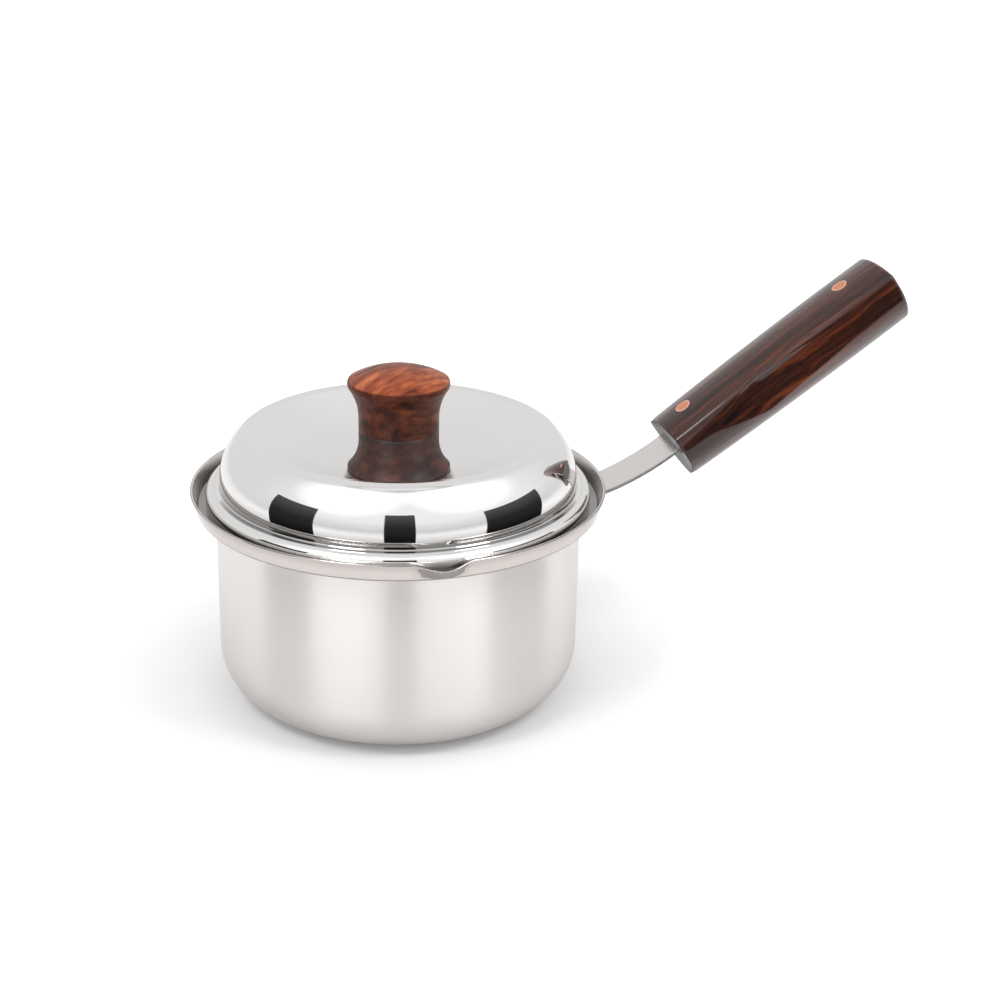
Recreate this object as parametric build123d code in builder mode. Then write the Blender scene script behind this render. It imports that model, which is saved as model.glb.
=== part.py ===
import math
import os

from build123d import *

# Milk pan with a pouring lip, a riveted wooden grip on a steel tang, and a lid with a wooden knob.
# Frame: origin at the centre of the underside of the base, handle along +X, pouring lip at -Y, +Z up.

# Shared sizes
overrun = 4.0
seat_gap = 0.1
fit_gap = 0.1

# Pan body, one pressed shell with a stepped rim
bore_radius = 70.0
pan_wall = 1.0
base_corner_radius = 20.5
ledge_height = 77.8
ledge_reach = 7.4
ledge_inner_bend = 1.2
ledge_outer_bend = 1.6
rim_height = 7.4
rim_flare = 2.3
lip_round = 0.42

# Pouring lip, a scooped channel pressed into the rim
spout_radius = 19.0
spout_reach = 4.2
spout_depth = 3.3
spout_tilt = 24.0
spout_outline_radius = 21.5

# Tang, a flat strip from the wall to the far end of the grip
tang_thickness = 1.6
tang_width = 18.6
tang_inner_width = 15.0
tang_bend_radius = 110.0
tang_root_width = 26.0
tang_root_height = 5.0
tang_corner = 1.5

# Grip
grip_tilt = 35.4
grip_stand_off = 41.5
grip_start_rise = 13.9
grip_length = 111.5
grip_far_dome = 1.4
grip_far_round = 2.4
grip_edge_round = 0.7
grip_crowns = (9.7, 10.6, 9.4)
grip_half_widths = (14.1, 14.5, 14.5)
grip_crease_half_widths = (13.6, 13.9, 13.9)
grip_crease_drops = (3.3, 3.7, 3.1)
grip_depths = (26.1, 28.4, 27.5)
grip_side_height_share = 0.41
grip_low_width_share = 0.82
grip_low_height_share = 0.68

# Thumb scallops, one in each side of the grip
scallop_waist = 11.2
scallop_waist_at_share = 0.363
scallop_near_width = 13.75
scallop_near_at_share = 0.22
scallop_far_width = 13.3
scallop_far_at_share = 0.614
scallop_end_clear = 0.35
scallop_blend = 14.0

# End plate between the tang and the grip
plate_thickness = 1.2
plate_inset = 0.3

# Rivets
rivet_radius = 3.25
front_rivet_at = 13.0
rear_rivet_inset = 19.0
tang_end_margin = 7.0

# Lid, one pressed shell with a rolled edge, a high shoulder and a sunk centre
lid_wall = 0.8
lid_play = 2.65
lid_flange_rise = 7.2
lid_bead_fall = 0.25
lid_bead_drop = 3.0
lid_flange_width = 1.7
lid_groove_bend = 0.5
lid_side_inset = 0.7
lid_side_rise = 2.0
lid_shoulder_width = 11.8
lid_shoulder_rise = 19.2
lid_crown_share = 0.51
lid_dish_depth = 16.0
lid_dish_angle = 30.0
lid_seat_radius = 20.5
lid_seat_bend = 6.0

# Knob, two turned pieces with a thin steel ring between them
knob_height = 40.0
knob_foot_radius = 19.9
knob_foot_tuck = 1.5
knob_foot_rise = 1.3
knob_waist_radius = 15.55
knob_waist_low = 12.0
knob_waist_high = 21.0
knob_flare_radius = 19.4
knob_flare_rise = 33.9
knob_head_radius = 19.75
knob_head_rise = 35.5
knob_crease_radius = 19.35
knob_crease_rise = 36.7
knob_joint_rise = 15.6
knob_ring_thickness = 0.6
knob_ring_inset = 0.15

# Knob fastening
screw_radius = 2.4
screw_engagement = 11.0
screw_head_radius = 4.6
screw_head_height = 2.8
screw_head_round = 0.9
screw_hole_radius = 2.7
screw_slot_width = 1.2
screw_slot_length = 5.0
screw_slot_depth = 1.5
insert_radius = 4.5
insert_length = 13.0
insert_thread_radius = 2.45
washer_radius = 7.5
washer_thickness = 1.0
lock_washer_radius = 4.4
lock_washer_thickness = 1.2
lock_washer_slit = 0.8

# Worked out from the sizes above
wall_radius = bore_radius + pan_wall
ledge_radius = wall_radius + ledge_reach
rim_top = ledge_height + rim_height
rim_radius = ledge_radius + rim_flare
ledge_top = ledge_height + pan_wall
rim_flare_angle = math.degrees(math.atan2(rim_flare, rim_height))
rim_wall_across = pan_wall / math.cos(math.radians(rim_flare_angle))

grip_start_x = wall_radius + grip_stand_off
grip_start_z = ledge_height + grip_start_rise
rear_rivet_at = grip_length - rear_rivet_inset
grip_plane = Plane(
    origin=(grip_start_x, 0, grip_start_z),
    x_dir=Vector(1, 0, 0).rotate(Axis.Y, -grip_tilt),
    z_dir=Vector(0, 0, 1).rotate(Axis.Y, -grip_tilt),
)
grip_end_plane = Plane(grip_plane.origin, x_dir=(0, 1, 0), z_dir=grip_plane.x_dir)

lid_skirt_radius = ledge_radius - rim_wall_across - lid_play
lid_skirt_base = ledge_top + seat_gap
lid_flange_height = ledge_top + lid_flange_rise
lid_side_radius = bore_radius - lid_side_inset
lid_flange_radius = lid_side_radius + lid_flange_width
lid_side_base = lid_flange_height + lid_side_rise
lid_ridge_radius = lid_side_radius - lid_shoulder_width
lid_ridge_height = lid_side_base + lid_shoulder_rise
lid_crown_radius = lid_shoulder_width * lid_crown_share
lid_side_bend = (
    lid_shoulder_width**2 + lid_shoulder_rise**2 - 2 * lid_crown_radius * lid_shoulder_rise
) / (2 * (lid_shoulder_width - lid_crown_radius))
lid_seat_height = lid_ridge_height - lid_dish_depth
lid_underside = lid_seat_height - lid_wall

knob_base = lid_seat_height
knob_joint = knob_base + knob_joint_rise
knob_upper_base = knob_joint + knob_ring_thickness
knob_dome_rise = knob_height - knob_crease_rise
knob_dome_radius = (knob_crease_radius**2 + knob_dome_rise**2) / (2 * knob_dome_rise)
screw_head_top = lid_underside - washer_thickness - lock_washer_thickness
screw_tip = knob_upper_base + screw_engagement


def export(builder, name):
    """Labels a finished piece and writes it to its own file."""
    builder.part.label = name
    export_step(builder.part, f"parts/{name}.step")


def pan_outline(inset):
    """Face bounded by the axis and the stepped pan wall, moved in by inset."""
    radius = wall_radius - inset
    ledge = ledge_height + inset
    lower = ledge_radius - inset / math.cos(math.radians(rim_flare_angle))
    lower += rim_flare * inset / rim_height
    top = rim_top + (overrun if inset else 0)
    upper = lower + rim_flare * (top - ledge) / rim_height
    with BuildSketch(Plane.XZ) as outline:
        with BuildLine():
            Polyline(
                (0, inset),
                (radius, inset),
                (radius, ledge),
                (lower, ledge),
                (upper, top),
                (0, top),
                close=True,
            )
        make_face()
        bends = {
            (radius, inset, 0): base_corner_radius - inset,
            (radius, ledge, 0): ledge_inner_bend + inset,
            (lower, ledge, 0): ledge_outer_bend - inset,
        }
        for corner, bend in bends.items():
            fillet(outline.vertices().sort_by_distance(corner)[0], bend)
    return outline.sketch


def spout_plane():
    """Plane at the tip of the pouring lip, its normal along the channel, away from the pan."""
    tip_y = -(rim_radius + spout_reach - pan_wall)
    tip_z = rim_top - spout_depth
    out = Vector(0, -1, 0).rotate(Axis.X, -spout_tilt)
    rise = Vector(0, 0, 1).rotate(Axis.X, -spout_tilt)
    return Plane(Vector(0, tip_y, tip_z) + rise * spout_radius, x_dir=(1, 0, 0), z_dir=out)


def grip_section(index, along, inset):
    """Sketch of one cross-section of the grip, square to its axis, moved in by inset."""
    half = grip_half_widths[index] - inset
    crown = grip_crowns[index] - inset
    depth = grip_depths[index] - inset * 2
    crease = (grip_crease_half_widths[index] - inset, crown - grip_crease_drops[index])
    side = (half, crown - depth * grip_side_height_share)
    low = (half * grip_low_width_share, crown - depth * grip_low_height_share)
    right = [crease, side, low]
    left = [(-x, y) for x, y in reversed(right)]
    with BuildSketch(grip_end_plane.offset(along)) as section:
        with BuildLine():
            ThreePointArc(left[-1], (0, crown), right[0])
            Spline(*right, (0, crown - depth), *left)
        make_face()
    return section.sketch


os.makedirs("parts", exist_ok=True)


# Pan body
outer_outline = pan_outline(0)
inner_outline = pan_outline(pan_wall)
with BuildPart() as pan_shell:
    add(outer_outline)
    revolve(axis=Axis.Z)
    add(inner_outline)
    revolve(axis=Axis.Z, mode=Mode.SUBTRACT)
    lip_edges = pan_shell.edges().filter_by(GeomType.CIRCLE).group_by(Axis.Z)[-1]
    fillet(lip_edges, lip_round)

channel = spout_plane()
channel_length = spout_reach + ledge_reach
with BuildPart() as spout_blank:
    with BuildSketch(channel.offset(-channel_length)):
        Circle(spout_radius + pan_wall)
    extrude(amount=channel_length + overrun)
    with BuildSketch(Plane.XY.offset(ledge_height)):
        with Locations((0, -(rim_radius + spout_reach - spout_outline_radius))):
            Circle(spout_outline_radius)
    extrude(amount=rim_height, mode=Mode.INTERSECT)
    add(outer_outline)
    revolve(axis=Axis.Z, mode=Mode.SUBTRACT)

with BuildPart() as spout_channel:
    with BuildSketch(channel.offset(-channel_length)):
        Circle(spout_radius)
    extrude(amount=channel_length + overrun * 2)
    with BuildSketch(Plane.XY.offset(ledge_top)):
        Circle(rim_radius + spout_reach + overrun)
    extrude(amount=rim_height + overrun, mode=Mode.INTERSECT)

with BuildPart() as pan_body:
    add(pan_shell.part)
    add(spout_blank.part)
    add(spout_channel.part, mode=Mode.SUBTRACT)
export(pan_body, "pan_body")


# Handle tang
root_top = ledge_height - ledge_inner_bend - fit_gap
root_bottom = root_top - tang_root_height
tang_inner_end = rear_rivet_at + tang_end_margin
bend_centre_x = grip_start_x - tang_bend_radius * math.sin(math.radians(grip_tilt))
bend_centre_z = grip_start_z + tang_bend_radius * math.cos(math.radians(grip_tilt))
root_lean = math.asin((wall_radius - bend_centre_x) / tang_bend_radius)
middle_lean = (root_lean + math.radians(grip_tilt)) / 2


def bend_point(lean):
    """Point on the middle line of the bent strip, where its slope is lean radians."""
    x = bend_centre_x + tang_bend_radius * math.sin(lean)
    z = bend_centre_z - tang_bend_radius * math.cos(lean)
    return (x, z)


with BuildPart() as handle_tang:
    with BuildSketch(Plane.XY.offset(root_bottom)):
        Circle(wall_radius + tang_thickness)
        Circle(wall_radius, mode=Mode.SUBTRACT)
        with Locations((wall_radius, 0)):
            Rectangle(wall_radius, tang_root_width, mode=Mode.INTERSECT)
    extrude(amount=tang_root_height)
    fillet(handle_tang.edges().filter_by(Axis.X), tang_corner)
    with BuildSketch(Plane.XZ):
        with BuildLine():
            ThreePointArc(
                bend_point(root_lean),
                bend_point(middle_lean),
                (grip_start_x, grip_start_z),
            )
        trace(line_width=tang_thickness)
    extrude(amount=tang_width / 2, both=True)
    with BuildSketch(grip_plane):
        with Locations((tang_inner_end / 2, 0)):
            RectangleRounded(tang_inner_end, tang_inner_width, tang_corner)
        with Locations((tang_inner_end / 4, 0)):
            Rectangle(tang_inner_end / 2, tang_inner_width)
    extrude(amount=tang_thickness / 2, both=True)
    with BuildSketch(Plane.XY.offset(root_bottom - overrun)):
        Circle(wall_radius)
    extrude(amount=tang_root_height + overrun * 2, mode=Mode.SUBTRACT)
    with BuildSketch(grip_plane.offset(-tang_thickness)):
        with Locations((front_rivet_at, 0), (rear_rivet_at, 0)):
            Circle(rivet_radius + fit_gap / 2)
    extrude(amount=tang_thickness * 2, mode=Mode.SUBTRACT)
export(handle_tang, "handle_tang")


# Grip, carved from a blank that its rivets are trimmed to
far_dome_radius = (grip_half_widths[-1] ** 2 + grip_far_dome**2) / (2 * grip_far_dome)
grip_axis = Axis(grip_plane.origin, grip_plane.x_dir)
near_section = grip_section(0, plate_thickness, 0)
middle_section = grip_section(1, grip_length / 2, 0)
far_section = grip_section(2, grip_length, 0)
scallop_waist_at = grip_length * scallop_waist_at_share
scallop_near_at = grip_length * scallop_near_at_share
scallop_far_at = grip_length * scallop_far_at_share
with BuildPart() as grip_blank:
    add([near_section, middle_section, far_section])
    loft()
    for side in (1, -1):
        reach = side * (max(grip_half_widths) + overrun)
        near_end = (0, side * (grip_half_widths[0] + scallop_end_clear))
        near_middle = (scallop_near_at, side * scallop_near_width)
        waist = (scallop_waist_at, side * scallop_waist)
        far_middle = (scallop_far_at, side * scallop_far_width)
        far_end = (grip_length, side * (grip_half_widths[-1] + scallop_end_clear))
        with BuildSketch(grip_plane.offset(-grip_length / 2)) as scallop:
            with BuildLine():
                ThreePointArc(near_end, near_middle, waist)
                ThreePointArc(waist, far_middle, far_end)
                Polyline(far_end, (grip_length, reach), (0, reach), near_end)
            make_face()
            fillet(scallop.vertices().sort_by_distance((*waist, 0))[0], scallop_blend)
        extrude(amount=grip_length, mode=Mode.SUBTRACT)
    with Locations(grip_plane * Pos(grip_length - far_dome_radius, 0, 0)):
        Sphere(far_dome_radius, mode=Mode.INTERSECT)
    far_edges = grip_blank.faces().sort_by(grip_axis)[-1].edges()
    fillet(far_edges, grip_far_round)
    near_edges = grip_blank.faces().sort_by(grip_axis)[0].edges()
    fillet(near_edges, grip_edge_round)

with BuildPart() as handle_grip:
    add(grip_blank.part)
    with BuildSketch(grip_plane.offset(-tang_thickness / 2 - fit_gap)):
        with Locations((tang_inner_end / 2, 0)):
            Rectangle(tang_inner_end + fit_gap * 2, tang_inner_width + fit_gap * 2)
    extrude(amount=tang_thickness + fit_gap * 2, mode=Mode.SUBTRACT)
    with BuildSketch(grip_plane.offset(-grip_length / 2)):
        with Locations((front_rivet_at, 0), (rear_rivet_at, 0)):
            Circle(rivet_radius + fit_gap / 2)
    extrude(amount=grip_length, mode=Mode.SUBTRACT)
export(handle_grip, "handle_grip")

for name, rivet_at in {"front_rivet": front_rivet_at, "rear_rivet": rear_rivet_at}.items():
    with BuildPart() as rivet:
        with BuildSketch(grip_plane.offset(-grip_length / 2)):
            with Locations((rivet_at, 0)):
                Circle(rivet_radius)
        extrude(amount=grip_length)
        add(grip_blank.part, mode=Mode.INTERSECT)
    export(rivet, name)


# End plate between the tang and the grip
plate_section = grip_section(0, 0, plate_inset)
with BuildPart() as handle_end_plate:
    add(plate_section)
    extrude(amount=plate_thickness, dir=grip_plane.x_dir)
    with BuildSketch(grip_end_plane):
        Rectangle(tang_inner_width + fit_gap * 2, tang_thickness + fit_gap * 2)
    extrude(amount=plate_thickness, mode=Mode.SUBTRACT)
export(handle_end_plate, "handle_end_plate")


# Lid
crown_centre = (lid_ridge_radius, lid_ridge_height - lid_crown_radius)
side_centre = (lid_side_radius - lid_side_bend, lid_side_base)
shoulder_lean = math.atan2(crown_centre[1] - side_centre[1], crown_centre[0] - side_centre[0])
dish_start_lean = math.radians(90 + lid_dish_angle)


def on_circle(centre, radius, lean):
    """Point on a circle, lean radians up from the outward direction."""
    return (centre[0] + radius * math.cos(lean), centre[1] + radius * math.sin(lean))


shoulder_point = on_circle(side_centre, lid_side_bend, shoulder_lean)
side_middle = on_circle(side_centre, lid_side_bend, shoulder_lean / 2)
crown_middle = on_circle(crown_centre, lid_crown_radius, (shoulder_lean + dish_start_lean) / 2)
dish_start = on_circle(crown_centre, lid_crown_radius, dish_start_lean)
dish_slope = Vector(1, 0).rotate(Axis.Z, lid_dish_angle)
bead_middle = ((lid_flange_radius + lid_skirt_radius) / 2, lid_flange_height - lid_bead_fall)
bead_end = (lid_skirt_radius, lid_flange_height - lid_bead_drop)

with BuildPart() as lid_shell:
    with BuildSketch(Plane.XZ):
        with BuildLine() as lid_path:
            Line((lid_skirt_radius, lid_skirt_base), bead_end)
            ThreePointArc(bead_end, bead_middle, (lid_flange_radius, lid_flange_height))
            Polyline(
                (lid_flange_radius, lid_flange_height),
                (lid_side_radius, lid_flange_height),
                (lid_side_radius, lid_side_base),
            )
            ThreePointArc((lid_side_radius, lid_side_base), side_middle, shoulder_point)
            ThreePointArc(shoulder_point, crown_middle, dish_start)
            seat_edge = (lid_seat_radius, lid_seat_height)
            TangentArc(dish_start, seat_edge, tangent=-dish_slope)
            Line(seat_edge, (screw_hole_radius, lid_seat_height))
            bends = {
                (lid_side_radius, lid_flange_height, 0): lid_groove_bend,
                (lid_seat_radius, lid_seat_height, 0): lid_seat_bend,
            }
            for corner, bend in bends.items():
                fillet(lid_path.vertices().sort_by_distance(corner)[0], bend)
            offset(amount=lid_wall, side=Side.LEFT)
        make_face()
    revolve(axis=Axis.Z)
export(lid_shell, "lid_shell")


# Knob, cut from one blank so that the grain and the outline run through
with BuildPart() as knob_blank:
    with BuildSketch(Plane.XZ):
        foot_base = (knob_foot_radius - knob_foot_tuck, 0)
        foot_edge = (knob_foot_radius, knob_foot_rise)
        waist_low = (knob_waist_radius, knob_waist_low)
        waist_high = (knob_waist_radius, knob_waist_high)
        flare = (knob_flare_radius, knob_flare_rise)
        crease = (knob_crease_radius, knob_crease_rise)
        with BuildLine():
            Line((0, 0), foot_base)
            TangentArc(foot_edge, foot_base, tangent=(0, -1))
            TangentArc(waist_low, foot_edge, tangent=(0, -1))
            Line(waist_low, waist_high)
            TangentArc(waist_high, flare, tangent=(0, 1))
            ThreePointArc(flare, (knob_head_radius, knob_head_rise), crease)
            RadiusArc(crease, (0, knob_height), -knob_dome_radius)
            Line((0, knob_height), (0, 0))
        make_face()
    revolve(axis=Axis.Z)

with BuildPart() as knob_lower:
    with Locations((0, 0, knob_base)):
        add(knob_blank.part)
    with BuildSketch(Plane.XY.offset(knob_base)):
        Circle(knob_foot_radius + overrun)
        Circle(screw_hole_radius, mode=Mode.SUBTRACT)
    extrude(amount=knob_joint_rise, mode=Mode.INTERSECT)
export(knob_lower, "knob_lower")

with BuildPart() as knob_ring:
    with BuildSketch(Plane.XY.offset(knob_joint)):
        Circle(knob_waist_radius - knob_ring_inset)
        Circle(screw_hole_radius, mode=Mode.SUBTRACT)
    extrude(amount=knob_ring_thickness)
export(knob_ring, "knob_ring")

with BuildPart() as knob_upper:
    with Locations((0, 0, knob_base)):
        add(knob_blank.part)
    with BuildSketch(Plane.XY.offset(knob_upper_base)):
        Circle(knob_foot_radius + overrun)
    extrude(amount=knob_height, mode=Mode.INTERSECT)
    with BuildSketch(Plane.XY.offset(knob_upper_base)):
        Circle(insert_radius + fit_gap / 2)
    extrude(amount=insert_length + fit_gap, mode=Mode.SUBTRACT)
export(knob_upper, "knob_upper")


# Screw, insert and washers that hold the knob to the lid
with BuildPart() as knob_insert:
    with BuildSketch(Plane.XY.offset(knob_upper_base)):
        Circle(insert_radius)
        Circle(insert_thread_radius, mode=Mode.SUBTRACT)
    extrude(amount=insert_length)
export(knob_insert, "knob_insert")

with BuildPart() as knob_screw:
    with BuildSketch(Plane.XY.offset(screw_head_top)):
        Circle(screw_radius)
    extrude(amount=screw_tip - screw_head_top)
    with BuildSketch(Plane.XY.offset(screw_head_top)):
        Circle(screw_head_radius)
    extrude(amount=-screw_head_height)
    fillet(knob_screw.edges().group_by(Axis.Z)[0], screw_head_round)
    with BuildSketch(Plane.XY.offset(screw_head_top - screw_head_height)):
        Rectangle(screw_slot_length, screw_slot_width)
        Rectangle(screw_slot_width, screw_slot_length)
    extrude(amount=screw_slot_depth, mode=Mode.SUBTRACT)
export(knob_screw, "knob_screw")

with BuildPart() as knob_washer:
    with BuildSketch(Plane.XY.offset(lid_underside)):
        Circle(washer_radius)
        Circle(screw_hole_radius, mode=Mode.SUBTRACT)
    extrude(amount=-washer_thickness)
export(knob_washer, "knob_washer")

with BuildPart() as knob_lock_washer:
    with BuildSketch(Plane.XY.offset(screw_head_top)):
        Circle(lock_washer_radius)
        Circle(screw_hole_radius, mode=Mode.SUBTRACT)
        with Locations((lock_washer_radius, 0)):
            Rectangle(lock_washer_radius * 2, lock_washer_slit, mode=Mode.SUBTRACT)
    extrude(amount=lock_washer_thickness)
export(knob_lock_washer, "knob_lock_washer")
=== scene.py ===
"""Dresses the milk pan: brushed and polished steel, rosewood and copper, in a white studio.

The sizes of the pieces are in millimetres. Finishes, lamps and camera are in metres.
"""

import logging
import math
from dataclasses import dataclass, field, replace
from enum import Enum

import bmesh
import bpy
import numpy as np
from mathutils import Matrix, Vector


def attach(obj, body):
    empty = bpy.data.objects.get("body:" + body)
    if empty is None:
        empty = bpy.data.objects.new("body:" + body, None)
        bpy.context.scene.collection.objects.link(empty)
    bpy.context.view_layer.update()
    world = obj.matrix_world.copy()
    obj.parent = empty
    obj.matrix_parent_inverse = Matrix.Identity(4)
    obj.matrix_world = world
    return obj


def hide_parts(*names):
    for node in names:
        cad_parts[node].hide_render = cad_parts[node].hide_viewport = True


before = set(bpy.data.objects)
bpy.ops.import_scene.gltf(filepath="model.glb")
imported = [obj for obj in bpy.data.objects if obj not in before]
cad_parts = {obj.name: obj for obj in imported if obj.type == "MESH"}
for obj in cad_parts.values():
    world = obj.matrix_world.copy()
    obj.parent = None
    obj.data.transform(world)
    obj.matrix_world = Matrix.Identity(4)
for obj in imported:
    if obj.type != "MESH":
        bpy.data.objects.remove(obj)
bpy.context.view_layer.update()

LOG = logging.getLogger("milk_pan")
MM = 0.001

# The grip's slope, its three directions and the middle of its near end
TILT = math.radians(35.4)
ALONG = Vector((math.cos(TILT), 0.0, math.sin(TILT)))
ACROSS = Vector((0.0, 1.0, 0.0))
NORMAL = Vector((-math.sin(TILT), 0.0, math.cos(TILT)))
GRIP_START = Vector((112.5, 0.0, 91.7))

# The noise values over which roughness and colour run, and the depth of every bump
NOISE_SPAN = (0.3, 0.7)
TONE_SPAN = (0.25, 0.75)
BUMP_DEPTH = 0.0002

Point = tuple[float, float]
Triple = tuple[float, float, float]
Pair = tuple[bpy.types.Node, object]


class Body(Enum):
    """The rigid bodies that pieces ride on."""

    PAN = "pan"
    LID = "lid"


class Zone(Enum):
    """The pan's zones, each with its own material; the gap and the underside of the ledge carry painted
    shade.
    """

    WALL = 0
    RIM = 1
    GAP = 2
    UNDER_LEDGE = 3


# Finishes


class NodeSheet:
    """Adds nodes to a tree. A pair is a node and the output that is read from it."""

    def __init__(self, tree: bpy.types.NodeTree) -> None:
        """Takes the tree that nodes are added to."""
        self.tree = tree

    def feed(self, value: object, node: bpy.types.Node, into: object) -> None:
        """Links a pair to an input, or sets the input to a constant.

        Args:
            value: the pair or the constant.
            node: the node that takes it.
            into: the input's name or number.
        """
        if isinstance(value, tuple) and isinstance(value[0], bpy.types.Node):
            self.tree.links.new(value[0].outputs[value[1]], node.inputs[into])
        else:
            node.inputs[into].default_value = value

    def add(self, kind: str, out: object, feeds: dict[object, object], **settings: str) -> Pair:
        """Adds a node and feeds it.

        Args:
            kind: the node's type, without its ShaderNode prefix.
            out: the output that is read.
            feeds: the pair or constant for each input.
            settings: the node's own settings.

        Returns:
            The pair of the new node and that output.
        """
        made = self.tree.nodes.new("ShaderNode" + kind)
        for key, value in settings.items():
            setattr(made, key, value)
        for into, value in feeds.items():
            self.feed(value, made, into)
        return made, out

    def math(self, operation: str, a: object, b: object) -> Pair:
        """Works with two values, each a number or a pair."""
        return self.add("Math", 0, {0: a, 1: b}, operation=operation)

    def vector(self, operation: str, a: Pair, b: object, out: str = "Vector") -> Pair:
        """Works with two vectors, the second a constant or a pair."""
        return self.add("VectorMath", out, {0: a, 1: b}, operation=operation)

    def scaled(self, source: Pair, factor: object) -> Pair:
        """Multiplies a vector or a colour by a number or a pair."""
        return self.add("VectorMath", "Vector", {"Vector": source, "Scale": factor}, operation="SCALE")

    def length(self, source: Pair) -> Pair:
        """Measures a vector."""
        return self.add("VectorMath", "Value", {"Vector": source}, operation="LENGTH")

    def axis(self, source: Pair, name: str) -> Pair:
        """Takes the X, Y or Z of a vector."""
        return self.add("SeparateXYZ", name, {"Vector": source})

    def place(self) -> Pair:
        """Reads the Object coordinates."""
        return self.add("TexCoord", "Object", {})

    def mapped(self, source: Pair, **how: Triple) -> Pair:
        """Turns coordinates by a Rotation, or stretches them by a Scale."""
        return self.add("Mapping", "Vector", {"Vector": source, **how})

    def noise(self, source: Pair, detail: float, scale: float = 1.0, rough: float = 0.6) -> Pair:
        """Reads fractal noise over coordinates."""
        feeds = {"Vector": source, "Scale": scale, "Detail": detail, "Roughness": rough}
        return self.add("TexNoise", "Fac", feeds)

    def range(self, source: Pair, start: Point, end: Point, smooth: bool = False) -> Pair:
        """Maps a value from one range to another, and keeps it inside.

        Args:
            source: the value.
            start: the range that it comes from.
            end: what the two ends of that range become.
            smooth: whether both ends are eased.

        Returns:
            The mapped value.
        """
        names = ("From Min", "From Max", "To Min", "To Max")
        feeds = {"Value": source, **dict(zip(names, (*start, *end)))}
        kind = "SMOOTHSTEP" if smooth else "LINEAR"
        return self.add("MapRange", "Result", feeds, interpolation_type=kind)

    def ramp(self, places: tuple[float, ...], colours: tuple[object, ...], source: Pair) -> Pair:
        """Runs through colours or plain levels.

        Args:
            places: the value at which each is reached.
            colours: the colours, or the levels of grey.
            source: the value.

        Returns:
            The colour.
        """
        made = self.add("ValToRGB", "Color", {"Fac": source})
        stops = made[0].color_ramp.elements
        while len(stops) < len(places):
            stops.new(0.5)
        for stop, place, colour in zip(stops, places, colours):
            stop.position = place
            stop.color = (*colour, 1.0) if isinstance(colour, tuple) else (colour, colour, colour, 1.0)
        return made

    def tone(self, noise: Pair, colour: Triple, share: float, span: Point = TONE_SPAN) -> Pair:
        """Runs from a share of a colour to the whole of it as the noise rises."""
        return self.ramp(span, (tuple(c * share for c in colour), colour), noise)

    def ray(self, kind: str) -> Pair:
        """Reads whether a ray is of a kind, such as Camera or Glossy."""
        return self.add("LightPath", f"Is {kind} Ray", {})

    def level_mix(self, share: Pair, a: object, b: object) -> Pair:
        """Blends from one level to another, each a number or a pair."""
        return self.add("Mix", 0, {0: share, 2: a, 3: b}, data_type="FLOAT")

    def colour_mix(self, share: Pair, a: object, b: object) -> Pair:
        """Blends from one colour to another, each a constant or a pair."""
        return self.add("Mix", 2, {0: share, 6: a, 7: b}, data_type="RGBA")


class FinishSheet(NodeSheet):
    """The nodes of one material."""

    def __init__(self, name: str) -> None:
        """Starts a material with its shader.

        Args:
            name: the material's name.
        """
        self.material = bpy.data.materials.new(name)
        self.material.use_nodes = True
        super().__init__(self.material.node_tree)
        self.tree.nodes.clear()
        self.output = self.tree.nodes.new("ShaderNodeOutputMaterial")
        self.shader = self.tree.nodes.new("ShaderNodeBsdfPrincipled")
        self.feed((self.shader, "BSDF"), self.output, "Surface")

    def set(self, **feeds: object) -> None:
        """Feeds the shader's own sockets, an underscore standing for a space."""
        for key, value in feeds.items():
            self.feed(value, self.shader, key.replace("_", " "))

    def bump(self, source: Pair, strength: float) -> None:
        """Raises the surface with a height."""
        feeds = {"Strength": strength, "Distance": BUMP_DEPTH, "Height": source}
        self.set(Normal=self.add("Bump", "Normal", feeds))


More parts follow.
